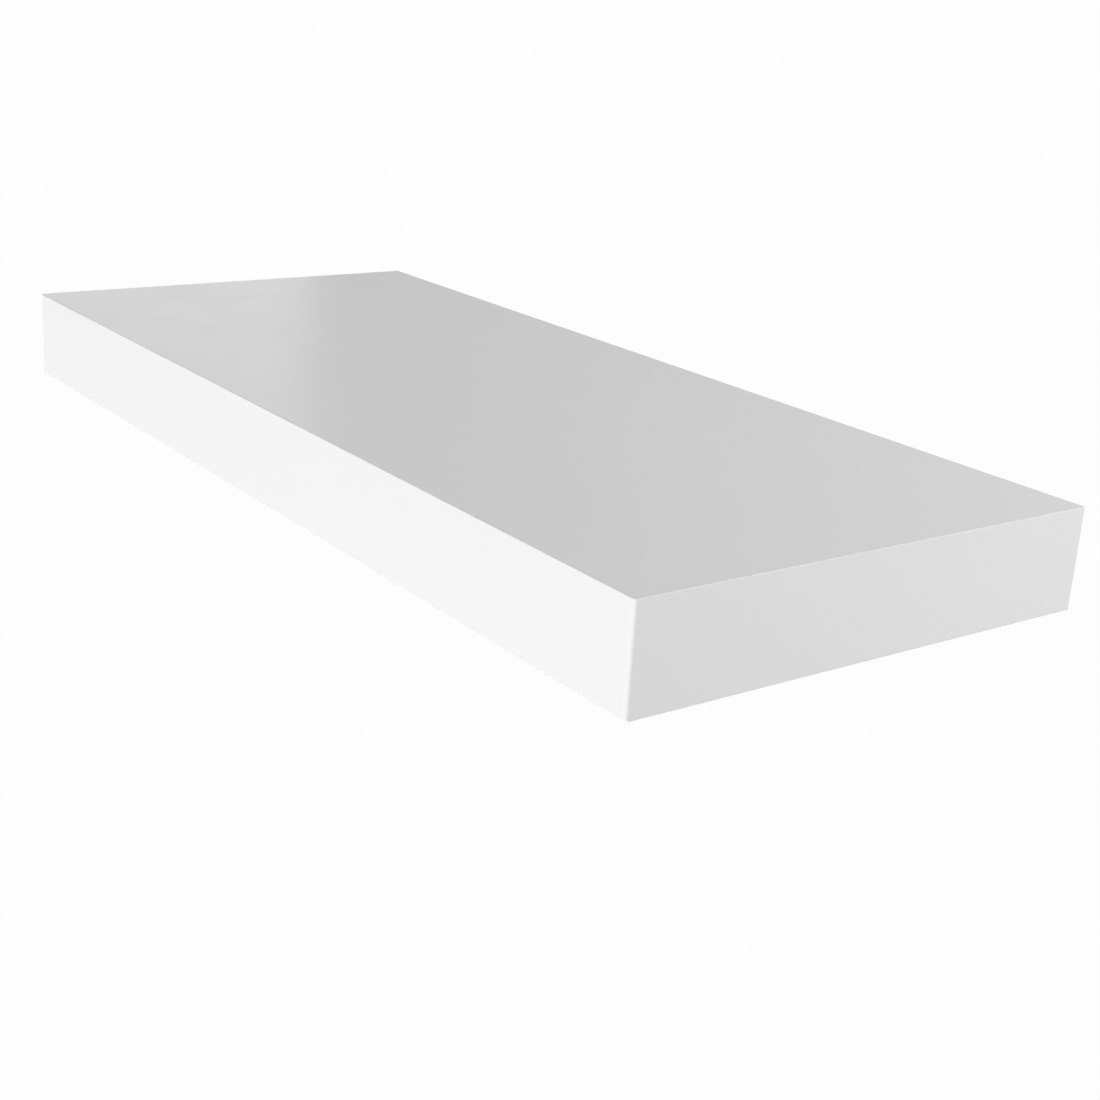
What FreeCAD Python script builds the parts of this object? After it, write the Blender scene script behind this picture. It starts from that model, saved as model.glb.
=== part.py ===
"""Floating wall shelf: a hollow-core board that slides onto a hidden steel bracket.

Millimetres, +Z up, +X along the shelf, +Y into the wall. The origin is on the wall plane, at the
middle of the wall bar's back face. The bracket is a wall bar with three round rods welded into it.
The board is two skins on a chipboard frame, with paper honeycomb in its bays and edging on its
front and ends. Each rod runs in a bored block, and two grub screws clamp the board from below.
"""

import FreeCAD, Part
import os
import Sketcher

SHEET = "dims"

# Driving dimensions: name, size in millimetres (or a count or degrees), and what it measures
DIMENSIONS = [
    # The finished board
    ("board_width", 600, "length of the finished board along the wall"),
    ("board_depth", 260, "wall plane to the finished front face"),
    ("board_height", 50, "finished thickness of the board"),
    ("skin_thickness", 3, "hardboard skin, top and bottom"),
    ("band_thickness", 2, "edging on the front and the two ends"),
    ("corner_radius", 1.5, "rounding of the front edging's two upright corners"),
    ("arris_radius", 0.6, "rounding of the edging's top and bottom edges"),
    # The frame inside it
    ("front_rail_depth", 30, "rail behind the front edging"),
    ("end_rail_width", 30, "rail behind each end's edging"),
    ("rear_rail_depth", 40, "rail in front of the wall bar"),
    ("rod_block_width", 40, "block bored for one rod"),
    # The honeycomb in its bays
    ("core_paper", 0.4, "thickness of one honeycomb paper"),
    ("core_play", 0.5, "gap between the honeycomb and the frame around it"),
    ("core_cells_deep", 4, "count of cells from back to front in a bay"),
    ("core_cells_outer", 3, "count of cells across an outer bay"),
    ("core_cells_inner", 5, "count of cells across an inner bay"),
    # The wall bar
    ("bar_thickness", 5, "flat steel bar on the wall"),
    ("bar_height_play", 2, "gap above and below the bar, inside the board"),
    ("bar_end_play", 8, "gap past each end of the bar, inside the board"),
    ("bar_front_gap", 1.5, "gap between the bar and the rear rail"),
    ("bar_corner_radius", 4, "rounding of the bar's four corners"),
    ("bar_arris_radius", 0.5, "rounding of the bar's edges, front and back"),
    ("wall_hole_diameter", 6.5, "hole in the bar for a wall screw"),
    ("wall_hole_sink", 12.5, "mouth of that hole's countersink"),
    ("wall_hole_inset", 25, "outer wall holes from the ends of the bar"),
    ("sink_angle", 90, "degrees across every countersink"),
    # The rods and their welds
    ("rod_pitch", 180, "middle rod to each outer rod"),
    ("rod_diameter", 12, "round steel rod"),
    ("rod_length", 165, "rod from the front of the bar to its tip"),
    ("rod_tip_chamfer", 2, "lead-in on the rod's tip"),
    ("rod_clearance", 0.3, "gap between a rod and its bore, all round"),
    ("rod_tip_gap", 6, "bore left empty past the rod's tip"),
    ("tenon_diameter", 9, "turned-down end of the rod, set through the bar"),
    ("tenon_recess", 0.5, "tenon's end, short of the wall plane"),
    ("tenon_clearance", 0.05, "gap between the tenon and its hole, all round"),
    ("weld_leg", 3.5, "fillet weld where a rod meets the bar"),
    ("weld_clearance", 1.2, "gap between a weld and the mouth of its bore"),
    # The lock screws and their inserts
    ("screw_diameter", 6, "grub screw that clamps a rod"),
    ("screw_end_chamfer", 1, "chamfer at both ends of the screw"),
    ("screw_socket", 3, "hexagon socket across its flats"),
    ("screw_socket_depth", 3.5, "depth of that socket"),
    ("lock_travel", 2.7, "way of the screw from loose to tight"),
    ("lock_gap", 0.3, "gap between a tight screw and its rod"),
    ("thread_clearance", 0.15, "gap between the screw and its insert, all round"),
    ("insert_diameter", 10, "threaded insert in the rear rail"),
    ("insert_clearance", 0.05, "gap between the insert and its hole, all round"),
    ("insert_recess", 3, "insert's foot above the underside of the rear rail"),
    ("insert_web", 4, "chipboard between the insert and the rod's bore"),
    ("access_clearance", 0.5, "gap all round where the insert passes the lower skin"),
]


def dim(name):
    """The sheet cell of that name, as text for an expression."""
    return f"{SHEET}.{name}"


# Sizes that follow from the driving ones, as expressions on the sheet
INNER_HEIGHT = f"({dim('board_height')} - 2 * {dim('skin_thickness')})"
SKIN_WIDTH = f"({dim('board_width')} - 2 * {dim('band_thickness')})"
SKIN_DEPTH = f"({dim('board_depth')} - {dim('band_thickness')})"
INNER_WIDTH = f"({SKIN_WIDTH} - 2 * {dim('end_rail_width')})"
END_RAIL_LENGTH = f"({SKIN_DEPTH} - {dim('front_rail_depth')})"
REAR_RAIL_BACK = f"({dim('bar_thickness')} + {dim('bar_front_gap')})"
REAR_RAIL_MIDDLE = f"({REAR_RAIL_BACK} + {dim('rear_rail_depth')} / 2)"
REAR_RAIL_FRONT = f"({REAR_RAIL_BACK} + {dim('rear_rail_depth')})"
BAY_DEPTH = f"({END_RAIL_LENGTH} - {REAR_RAIL_FRONT})"
BAY_MIDDLE = f"({REAR_RAIL_FRONT} + {BAY_DEPTH} / 2)"
INNER_BAY_WIDTH = f"({dim('rod_pitch')} - {dim('rod_block_width')})"
INNER_BAY_MIDDLE = f"({dim('rod_pitch')} / 2)"
OUTER_BAY_WIDTH = f"({INNER_WIDTH} / 2 - {dim('rod_pitch')} - {dim('rod_block_width')} / 2)"
OUTER_BAY_MIDDLE = f"({INNER_WIDTH} / 2 - {OUTER_BAY_WIDTH} / 2)"
BAR_LENGTH = f"({INNER_WIDTH} - 2 * {dim('bar_end_play')})"
BAR_HEIGHT = f"({INNER_HEIGHT} - 2 * {dim('bar_height_play')})"
WALL_HOLE_OUTER = f"({BAR_LENGTH} / 2 - {dim('wall_hole_inset')})"
WALL_HOLE_INNER = f"({dim('rod_pitch')} / 2)"
TENON_HOLE = f"({dim('tenon_diameter')} + 2 * {dim('tenon_clearance')})"
ROD_RADIUS = f"({dim('rod_diameter')} / 2)"
ROD_TIP = f"({dim('bar_thickness')} + {dim('rod_length')})"
BORE_DIAMETER = f"({dim('rod_diameter')} + 2 * {dim('rod_clearance')})"
BORE_END = f"({ROD_TIP} + {dim('rod_tip_gap')})"
WELD_RADIUS_AT_RAIL = f"({ROD_RADIUS} + {dim('weld_leg')} - {dim('bar_front_gap')})"
BORE_MOUTH = f"(2 * ({WELD_RADIUS_AT_RAIL} + {dim('weld_clearance')}))"
SCREW_HOLE = f"({dim('screw_diameter')} + 2 * {dim('thread_clearance')})"
INSERT_FOOT = f"({INNER_HEIGHT} / 2 - {dim('insert_recess')})"
SCREW_LENGTH = f"({INSERT_FOOT} - {ROD_RADIUS} - {dim('lock_travel')} - {dim('lock_gap')})"
INSERT_HOLE = f"({dim('insert_diameter')} + 2 * {dim('insert_clearance')})"
INSERT_LENGTH = f"({INSERT_FOOT} - {BORE_DIAMETER} / 2 - {dim('insert_web')})"
ACCESS_HOLE = f"({dim('insert_diameter')} + 2 * {dim('access_clearance')})"

# Which way from the middle, seen from the front
SIDES = {"left": "-", "right": ""}
ROD_PLACES = {"left": f"-{dim('rod_pitch')}", "middle": "0", "right": dim("rod_pitch")}
LOCK_PLACES = {side: ROD_PLACES[side] for side in SIDES}

# The sketcher's numbers for an edge's points and for its own axes
START, END, CENTRE = 1, 2, 3
ACROSS_AXIS, UP_AXIS = -1, -2
ORIGIN = (ACROSS_AXIS, START)

doc = FreeCAD.newDocument("floating_shelf")


def fill_sheet():
    """The driving dimensions, one row each, with the name as the cell's alias."""
    sheet = doc.addObject("Spreadsheet::Sheet", SHEET)
    for row, (name, size, meaning) in enumerate(DIMENSIONS, start=1):
        sheet.set(f"A{row}", name)
        sheet.set(f"B{row}", str(size))
        sheet.set(f"C{row}", meaning)
        sheet.setAlias(f"B{row}", name)
    doc.recompute()
    return sheet


sheet = fill_sheet()


def value_of(expression):
    """What an expression on the sheet comes to."""
    return float(sheet.evalExpression(expression))


# Bodies and sketches

def new_body(label, x="0", y="0", z="0"):
    """An empty body whose place follows three expressions."""
    body = doc.addObject("PartDesign::Body", label)
    body.Label = label
    for axis, expression in zip("xyz", (x, y, z)):
        body.setExpression(f"Placement.Base.{axis}", expression)
    return body


def new_sketch(body, name, plane, offset="0"):
    """A sketch on one of the body's own origin planes, moved along that plane's normal."""
    sketch = body.newObject("Sketcher::SketchObject", f"{body.Name}_{name}")
    support = next(item for item in body.Origin.OriginFeatures if item.Role == plane)
    sketch.AttachmentSupport = (support, "")
    sketch.MapMode = "FlatFace"
    sketch.setExpression("AttachmentOffset.Base.z", offset)
    return sketch


def bind(sketch, constraint, expression):
    """Adds a dimension whose value follows an expression."""
    index = sketch.addConstraint(constraint)
    sketch.setExpression(f"Constraints[{index}]", expression)


def place_point(sketch, edge, point, x, y):
    """Ties a point of an edge to two distances from the sketch's origin."""
    for kind, axis, expression in (("DistanceX", UP_AXIS, x), ("DistanceY", ACROSS_AXIS, y)):
        if expression == "0":
            sketch.addConstraint(Sketcher.Constraint("PointOnObject", edge, point, axis))
        else:
            distance = Sketcher.Constraint(kind, *ORIGIN, edge, point, value_of(expression))
            bind(sketch, distance, expression)


def closed_lines(sketch, points):
    """Straight edges through the points and back to the first. Gives the first edge's number."""
    first = sketch.GeometryCount
    count = len(points)
    corners = [FreeCAD.Vector(x, y, 0) for x, y in points]
    for i, corner in enumerate(corners):
        sketch.addGeometry(Part.LineSegment(corner, corners[(i + 1) % count]))
    for i in range(count):
        following = first + (i + 1) % count
        sketch.addConstraint(Sketcher.Constraint("Coincident", first + i, END, following, START))
    return first


def outline(sketch, points):
    """A closed outline through places given as pairs of expressions."""
    first = closed_lines(sketch, [(value_of(x), value_of(y)) for x, y in points])
    for i, (x, y) in enumerate(points):
        place_point(sketch, first + i, START, x, y)


def rectangle(sketch, wide, tall):
    """A rectangle about the sketch's origin."""
    x, y = value_of(wide) / 2, value_of(tall) / 2
    bottom = closed_lines(sketch, [(-x, -y), (x, -y), (x, y), (-x, y)])
    right, top, left = bottom + 1, bottom + 2, bottom + 3
    for kind, edges in (("Horizontal", (bottom, top)), ("Vertical", (right, left))):
        for edge in edges:
            sketch.addConstraint(Sketcher.Constraint(kind, edge))
    sketch.addConstraint(Sketcher.Constraint("Symmetric", bottom, START, top, START, *ORIGIN))
    bind(sketch, Sketcher.Constraint("DistanceX", bottom, START, bottom, END, 2 * x), wide)
    bind(sketch, Sketcher.Constraint("DistanceY", right, START, right, END, 2 * y), tall)


def circle(sketch, diameter, x="0", y="0"):
    """A circle of that diameter about a place."""
    centre = FreeCAD.Vector(value_of(x), value_of(y), 0)
    radius = value_of(diameter) / 2
    edge = sketch.addGeometry(Part.Circle(centre, FreeCAD.Vector(0, 0, 1), radius))
    bind(sketch, Sketcher.Constraint("Diameter", edge, 2 * radius), diameter)
    place_point(sketch, edge, CENTRE, x, y)


# Features

def pad(body, sketch, length, both_ways=False):
    """Raises the sketch along its normal, or half of the length each way."""
    feature = body.newObject("PartDesign::Pad", f"{sketch.Name}_pad")
    feature.Profile = sketch
    feature.SideType = "Symmetric" if both_ways else "One side"
    feature.setExpression("Length", length)
    doc.recompute()


def turn(body, sketch):
    """Turns a half outline about the sketch's upright axis."""
    feature = body.newObject("PartDesign::Revolution", f"{sketch.Name}_turned")
    feature.Profile = sketch
    feature.ReferenceAxis = (sketch, ["V_Axis"])
    doc.recompute()


def finish_cut(body, feature, volume_before):
    """Stops the build where a cut took nothing away, as when it points out of the solid."""
    doc.recompute()
    if feature.Shape.Volume >= volume_before:
        raise RuntimeError(f"{feature.Name} cuts nothing from {body.Label}")
    return feature


def cut(body, sketch, depth=None):
    """Cuts the sketch to a depth along its normal, or right through both ways."""
    volume_before = body.Tip.Shape.Volume
    feature = body.newObject("PartDesign::Pocket", f"{sketch.Name}_cut")
    feature.Profile = sketch
    if depth is None:
        feature.SideType = "Symmetric"
        feature.Type = "ThroughAll"
    else:
        feature.Reversed = True
        feature.setExpression("Length", depth)
    return finish_cut(body, feature, volume_before)


def sunk_holes(body, sketch, diameter, mouth, along_normal):
    """Drills through the body at each circle of the sketch, with a countersunk mouth there."""
    volume_before = body.Tip.Shape.Volume
    feature = body.newObject("PartDesign::Hole", f"{sketch.Name}_drilled")
    feature.Profile = sketch
    doc.recompute()
    feature.Reversed = along_normal
    feature.DepthType = "ThroughAll"
    feature.HoleCutType = "Countersink"
    feature.HoleCutCustomValues = True
    feature.setExpression("HoleCutCountersinkAngle", dim("sink_angle"))
    feature.setExpression("Diameter", diameter)
    feature.setExpression("HoleCutDiameter", mouth)
    finish_cut(body, feature, volume_before)


def dress(body, kind, size_property, size, wanted):
    """Fillets or chamfers those edges of the body's last solid that are wanted."""
    base = body.Tip
    names = [f"Edge{i}" for i, edge in enumerate(base.Shape.Edges, start=1) if wanted(edge)]
    feature = body.newObject(f"PartDesign::{kind}", f"{body.Name}_{kind.lower()}")
    feature.Base = (base, names)
    feature.setExpression(size_property, size)
    doc.recompute()


def lies_at(edge, axis, place):
    """Whether every point of an edge has that value along an axis."""
    box = edge.BoundBox
    low, high = getattr(box, f"{axis}Min"), getattr(box, f"{axis}Max")
    return max(abs(low - place), abs(high - place)) < Part.Precision.confusion() + box_slack(edge)


def box_slack(edge):
    """An edge's box is wider than the edge by its own tolerance."""
    return 2 * edge.Tolerance


def runs_along(edge, axis):
    """Whether a straight edge runs along an axis."""
    others = [other for other in "XYZ" if other != axis]
    box = edge.BoundBox
    return all(getattr(box, f"{other}Length") <= 2 * box_slack(edge) for other in others)


def sawn_board(label, wide, deep, tall, x="0", y="0", z="0"):
    """A square-cut board: its plan about the body's origin, raised half up and half down."""
    body = new_body(label, x, y, z)
    plan = new_sketch(body, "plan", "XY_Plane")
    rectangle(plan, wide, deep)
    pad(body, plan, tall, both_ways=True)
    return body


# The board

def make_skins():
    """Hardboard over the whole frame. The lower skin has a hole under each lock screw."""
    lift = f"({dim('board_height')} - {dim('skin_thickness')}) / 2"
    size = SKIN_WIDTH, SKIN_DEPTH, dim("skin_thickness")
    top = sawn_board("top_skin", *size, y=f"-{SKIN_DEPTH} / 2", z=lift)
    bottom = sawn_board("bottom_skin", *size, y=f"-{SKIN_DEPTH} / 2", z=f"-{lift}")
    access = new_sketch(bottom, "access", "XY_Plane")
    for place in LOCK_PLACES.values():
        circle(access, ACCESS_HOLE, place, f"{SKIN_DEPTH} / 2 - {REAR_RAIL_MIDDLE}")
    cut(bottom, access)
    return [top, bottom]


def make_outer_rails():
    """The front rail, and the end rails that run from it back to the wall."""
    front_middle = f"-({END_RAIL_LENGTH} + {dim('front_rail_depth')} / 2)"
    front_size = SKIN_WIDTH, dim("front_rail_depth"), INNER_HEIGHT
    end_size = dim("end_rail_width"), END_RAIL_LENGTH, INNER_HEIGHT
    rails = [sawn_board("front_rail", *front_size, y=front_middle)]
    for side, sign in SIDES.items():
        middle = f"{sign}({SKIN_WIDTH} / 2 - {dim('end_rail_width')} / 2)"
        rails.append(sawn_board(f"{side}_end_rail", *end_size, middle, f"-{END_RAIL_LENGTH} / 2"))
    return rails


def make_rear_rail():
    """The rail in front of the wall bar, bored for the rods and, from below, for the inserts."""
    rail_size = INNER_WIDTH, dim("rear_rail_depth"), INNER_HEIGHT
    rail = sawn_board("rear_rail", *rail_size, y=f"-{REAR_RAIL_MIDDLE}")
    bores = new_sketch(rail, "bores", "XZ_Plane", offset=f"-{dim('rear_rail_depth')} / 2")
    for place in ROD_PLACES.values():
        circle(bores, BORE_DIAMETER, place)
    sunk_holes(rail, bores, BORE_DIAMETER, BORE_MOUTH, along_normal=True)
    drillings = {
        "insert_holes": (INSERT_HOLE, f"{dim('insert_recess')} + {INSERT_LENGTH}"),
        "screw_holes": (SCREW_HOLE, f"{INNER_HEIGHT} / 2"),
    }
    for name, (diameter, depth) in drillings.items():
        holes = new_sketch(rail, name, "XY_Plane", offset=f"-{INNER_HEIGHT} / 2")
        for place in LOCK_PLACES.values():
            circle(holes, diameter, place)
        cut(rail, holes, depth)
    return rail


def make_rod_block(side, place):
    """A block from the rear rail to the front rail, with a blind bore for one rod."""
    block_size = dim("rod_block_width"), BAY_DEPTH, INNER_HEIGHT
    block = sawn_board(f"{side}_rod_block", *block_size, place, f"-{BAY_MIDDLE}")
    bore = new_sketch(block, "bore", "XZ_Plane", offset=f"-{BAY_DEPTH} / 2")
    circle(bore, BORE_DIAMETER)
    cut(block, bore, f"{BORE_END} - {REAR_RAIL_FRONT}")
    return block


def make_honeycomb(label, width, middle, cells_across):
    """Expanded paper honeycomb that stands in one bay from skin to skin.

    Its six-sided cells stand in staggered rows, as many as the counts say, so the cells stretch
    with the bay. Walls that run from back to front are glued pairs, two papers thick, and the
    slanted walls are one paper thick. Cells at the border are cut in half.
    """
    wide = f"({width} - 2 * {dim('core_play')})"
    deep = f"({BAY_DEPTH} - 2 * {dim('core_play')})"
    core = sawn_board(label, wide, deep, INNER_HEIGHT, middle, f"-{BAY_MIDDLE}")
    pitch_across = f"({wide} / {cells_across})"
    pitch_deep = f"({deep} / {dim('core_cells_deep')})"
    half_width = f"({pitch_across} / 2 - {dim('core_paper')})"
    half_length = f"({pitch_deep} / 3 - {dim('core_paper')} / 2)"
    left, back = f"(-{wide} / 2)", f"(-{deep} / 2)"
    cells = new_sketch(core, "cells", "XY_Plane")
    for x, y in (
        (f"{left} + {pitch_across} / 2", back),
        (left, f"{back} + {pitch_deep} / 2"),
    ):
        outline(cells, [
            (x, f"{y} - {half_length}"),
            (f"{x} + {half_width}", f"{y} - {half_length} / 2"),
            (f"{x} + {half_width}", f"{y} + {half_length} / 2"),
            (x, f"{y} + {half_length}"),
            (f"{x} - {half_width}", f"{y} + {half_length} / 2"),
            (f"{x} - {half_width}", f"{y} - {half_length} / 2"),
        ])
    first_cells = cut(core, cells)
    rows = core.newObject("PartDesign::LinearPattern", f"{label}_rows")
    rows.Originals = [first_cells]
    rows.Direction = (cells, ["H_Axis"])
    rows.Direction2 = (cells, ["V_Axis"])
    rows.setExpression("Length", wide)
    rows.setExpression("Length2", deep)
    rows.setExpression("Occurrences", f"{cells_across} + 1")
    rows.setExpression("Occurrences2", f"{dim('core_cells_deep')} + 1")
    core.Tip = rows
    doc.recompute()
    return core


def make_front_band():
    """Front edging. It covers the ends of the side edging, with round corners and soft edges."""
    thickness = dim("band_thickness")
    middle = f"-({dim('board_depth')} - {thickness} / 2)"
    band = sawn_board(
        "front_edge_band", dim("board_width"), thickness, dim("board_height"), y=middle
    )
    glued_face = value_of(thickness) / 2
    top = value_of(dim("board_height")) / 2
    dress(
        band, "Fillet", "Radius", dim("corner_radius"),
        lambda edge: runs_along(edge, "Z") and not lies_at(edge, "Y", glued_face),
    )
    dress(
        band, "Fillet", "Radius", dim("arris_radius"),
        lambda edge: (lies_at(edge, "Z", top) or lies_at(edge, "Z", -top))
        and not lies_at(edge, "Y", glued_face),
    )
    return band


def make_end_band(side, sign):
    """End edging from the front edging back to the wall, with soft edges along its top and bottom."""
    thickness = dim("band_thickness")
    middle = f"{sign}({dim('board_width')} / 2 - {thickness} / 2)"
    band = sawn_board(
        f"{side}_edge_band", thickness, SKIN_DEPTH, dim("board_height"), middle, f"-{SKIN_DEPTH} / 2"
    )
    outer_face = value_of(f"{sign}{thickness} / 2")
    dress(
        band, "Fillet", "Radius", dim("arris_radius"),
        lambda edge: lies_at(edge, "X", outer_face) and runs_along(edge, "Y"),
    )
    return band


# The bracket

def make_wall_bar():
    """Flat bar against the wall, with a hole for each rod's tenon and countersunk wall holes."""
    bar = new_body("wall_bar")
    face = new_sketch(bar, "face", "XZ_Plane")
    rectangle(face, BAR_LENGTH, BAR_HEIGHT)
    pad(bar, face, dim("bar_thickness"))
    dress(bar, "Fillet", "Radius", dim("bar_corner_radius"), lambda edge: runs_along(edge, "Y"))
    dress(bar, "Fillet", "Radius", dim("bar_arris_radius"), lambda edge: not runs_along(edge, "Y"))
    tenons = new_sketch(bar, "tenons", "XZ_Plane")
    for place in ROD_PLACES.values():
        circle(tenons, TENON_HOLE, place)
    cut(bar, tenons)
    wall_holes = new_sketch(bar, "wall_holes", "XZ_Plane", offset=dim("bar_thickness"))
    for place in (WALL_HOLE_OUTER, WALL_HOLE_INNER):
        for sign in SIDES.values():
            circle(wall_holes, dim("wall_hole_diameter"), f"{sign}{place}")
    sunk_holes(bar, wall_holes, dim("wall_hole_diameter"), dim("wall_hole_sink"), along_normal=False)
    return bar


def make_rod(side, place):
    """Round rod with a turned tenon in the wall bar and a chamfered tip."""
    rod = new_body(f"{side}_rod", x=place)
    tip_radius = f"{ROD_RADIUS} - {dim('rod_tip_chamfer')}"
    tenon_radius = f"{dim('tenon_diameter')} / 2"
    half = new_sketch(rod, "half_outline", "XY_Plane")
    outline(half, [
        ("0", f"-{dim('tenon_recess')}"),
        ("0", f"-{ROD_TIP}"),
        (tip_radius, f"-{ROD_TIP}"),
        (ROD_RADIUS, f"-{ROD_TIP} + {dim('rod_tip_chamfer')}"),
        (ROD_RADIUS, f"-{dim('bar_thickness')}"),
        (tenon_radius, f"-{dim('bar_thickness')}"),
        (tenon_radius, f"-{dim('tenon_recess')}"),
    ])
    turn(rod, half)
    return rod


def make_weld(side, place):
    """Fillet weld all round the foot of a rod."""
    weld = new_body(f"{side}_rod_weld", x=place)
    half = new_sketch(weld, "half_outline", "XY_Plane")
    outline(half, [
        (ROD_RADIUS, f"-{dim('bar_thickness')}"),
        (ROD_RADIUS, f"-{dim('bar_thickness')} - {dim('weld_leg')}"),
        (f"{ROD_RADIUS} + {dim('weld_leg')}", f"-{dim('bar_thickness')}"),
    ])
    turn(weld, half)
    return weld


# The lock

def make_insert(side, place):
    """Sleeve for the lock screw, sunk into the underside of the rear rail."""
    insert = new_body(f"{side}_threaded_insert", place, f"-{REAR_RAIL_MIDDLE}", f"-{INSERT_FOOT}")
    ring = new_sketch(insert, "ring", "XY_Plane")
    circle(ring, dim("insert_diameter"))
    circle(ring, SCREW_HOLE)
    pad(insert, ring, INSERT_LENGTH)
    return insert


def make_lock_screw(side, place):
    """Grub screw in its loose place, with its foot level with the foot of its insert."""
    screw = new_body(f"{side}_lock_screw", place, f"-{REAR_RAIL_MIDDLE}", f"-{INSERT_FOOT}")
    shank = new_sketch(screw, "shank", "XY_Plane")
    circle(shank, dim("screw_diameter"))
    pad(screw, shank, SCREW_LENGTH)
    dress(
        screw, "Chamfer", "Size", dim("screw_end_chamfer"),
        lambda edge: isinstance(edge.Curve, Part.Circle),
    )
    flat = f"{dim('screw_socket')} / 2"
    corner = f"{dim('screw_socket')} / sqrt(3)"
    socket = new_sketch(screw, "socket", "XY_Plane")
    outline(socket, [
        (corner, "0"),
        (f"{corner} / 2", flat),
        (f"-{corner} / 2", flat),
        (f"-{corner}", "0"),
        (f"-{corner} / 2", f"-{flat}"),
        (f"{corner} / 2", f"-{flat}"),
    ])
    cut(screw, socket, dim("screw_socket_depth"))
    return screw


def build():
    """Every piece of the shelf, each a body of its own."""
    pieces = [*make_skins(), *make_outer_rails(), make_rear_rail(), make_front_band(), make_wall_bar()]
    for side, place in ROD_PLACES.items():
        pieces += [make_rod_block(side, place), make_rod(side, place), make_weld(side, place)]
    for side, place in LOCK_PLACES.items():
        pieces += [make_insert(side, place), make_lock_screw(side, place)]
    bays = {
        "outer": (OUTER_BAY_WIDTH, OUTER_BAY_MIDDLE, dim("core_cells_outer")),
        "inner": (INNER_BAY_WIDTH, INNER_BAY_MIDDLE, dim("core_cells_inner")),
    }
    for side, sign in SIDES.items():
        pieces.append(make_end_band(side, sign))
        for bay, (width, middle, cells) in bays.items():
            pieces.append(make_honeycomb(f"{side}_{bay}_honeycomb", width, f"{sign}{middle}", cells))
    doc.recompute()
    return pieces


def check(pieces):
    """Stops before anything is written if a feature failed or a piece isn't one sound solid."""
    for item in doc.Objects:
        if "Invalid" in item.State or "Error" in item.State:
            raise RuntimeError(f"{item.Label} failed: {item.State}")
        if item.TypeId == "Sketcher::SketchObject" and not item.FullyConstrained:
            raise RuntimeError(f"{item.Label} is not fully constrained")
    for piece in pieces:
        shape = piece.Shape
        if shape.isNull() or not shape.isValid() or len(shape.Solids) != 1:
            raise RuntimeError(f"{piece.Label} is not one valid solid")


def export(pieces):
    """Each piece in its own file, named for its label."""
    os.makedirs("parts", exist_ok=True)
    for piece in pieces:
        piece.Shape.exportStep(os.path.join("parts", f"{piece.Label}.step"))


pieces = build()
check(pieces)
export(pieces)
print(f"{len(pieces)} pieces written")
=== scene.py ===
"""Finishes a floating wall shelf: lacquered board, edging, welded bracket, lock screws and a pale stage."""

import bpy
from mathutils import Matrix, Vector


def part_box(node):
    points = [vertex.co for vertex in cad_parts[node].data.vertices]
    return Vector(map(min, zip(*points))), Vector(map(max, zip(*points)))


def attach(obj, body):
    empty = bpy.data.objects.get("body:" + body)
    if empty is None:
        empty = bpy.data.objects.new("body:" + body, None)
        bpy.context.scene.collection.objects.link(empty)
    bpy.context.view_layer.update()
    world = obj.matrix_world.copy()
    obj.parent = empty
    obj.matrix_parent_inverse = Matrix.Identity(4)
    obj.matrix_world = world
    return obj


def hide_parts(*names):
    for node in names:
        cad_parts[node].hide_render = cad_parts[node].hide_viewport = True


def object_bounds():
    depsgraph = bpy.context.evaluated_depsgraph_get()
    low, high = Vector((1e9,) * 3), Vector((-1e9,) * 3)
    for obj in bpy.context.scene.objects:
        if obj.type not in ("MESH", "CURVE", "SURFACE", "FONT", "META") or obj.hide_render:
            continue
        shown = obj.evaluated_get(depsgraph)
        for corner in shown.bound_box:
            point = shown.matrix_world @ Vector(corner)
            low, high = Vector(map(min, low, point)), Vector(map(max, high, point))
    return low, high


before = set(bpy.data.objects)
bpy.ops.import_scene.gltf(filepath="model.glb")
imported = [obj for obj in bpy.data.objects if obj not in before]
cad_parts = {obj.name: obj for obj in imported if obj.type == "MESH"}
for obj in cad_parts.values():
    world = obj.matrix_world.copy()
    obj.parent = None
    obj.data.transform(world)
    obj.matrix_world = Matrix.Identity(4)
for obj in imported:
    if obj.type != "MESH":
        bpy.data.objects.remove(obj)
CAD_BOX = [list(corner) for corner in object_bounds()]

import math

import bpy
import numpy as np
from mathutils import Quaternion, Vector

bl_info = {
    "name": "Floating wall shelf",
    "version": (1, 0, 0),
    "blender": (4, 5, 0),
    "location": "3D View > Sidebar > Shelf",
    "description": "Finishes a hollow-core wall shelf, its bracket and its lock screws",
    "category": "Object",
}

MM = 0.001
BOARD, BRACKET = "shelf", "bracket"
SIDES = ("left", "right")
ROD_PLACES = ("left", "middle", "right")
SKINS = ("top_skin", "bottom_skin")
FRAME_BOARDS = ("front_rail", "left_end_rail", "right_end_rail", "rear_rail",
                "left_rod_block", "middle_rod_block", "right_rod_block")
CORE_BAYS = ("left_outer_honeycomb", "left_inner_honeycomb",
             "right_inner_honeycomb", "right_outer_honeycomb")

FULL_TURN = 2 * math.pi
RIGHT_ANGLE = math.pi / 2
SHARP_ANGLE = math.radians(32)

# How deep the lacquer's white reaches at the edge of a skin, and how wide the rows are that lie on the flat
# faces beside a soft edge
LACQUER_FILM = 0.15 * MM
FLAT_ROW = 0.3 * MM

# Chipboard, in millimetres: width and thickness of the chips in the middle and near the faces, and how far
# from the middle the one kind gives way to the other
CORE_CHIP, FACE_CHIP = (5.0, 1.0), (1.8, 0.5)
FACE_STARTS, FACE_FULL = 11.0, 19.0

# Rods: rounding of the turned edges, and the share of a flat end's radius that its middle takes
ROD_SOFTNESS = 0.4 * MM
END_MIDDLE = 0.5

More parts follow.
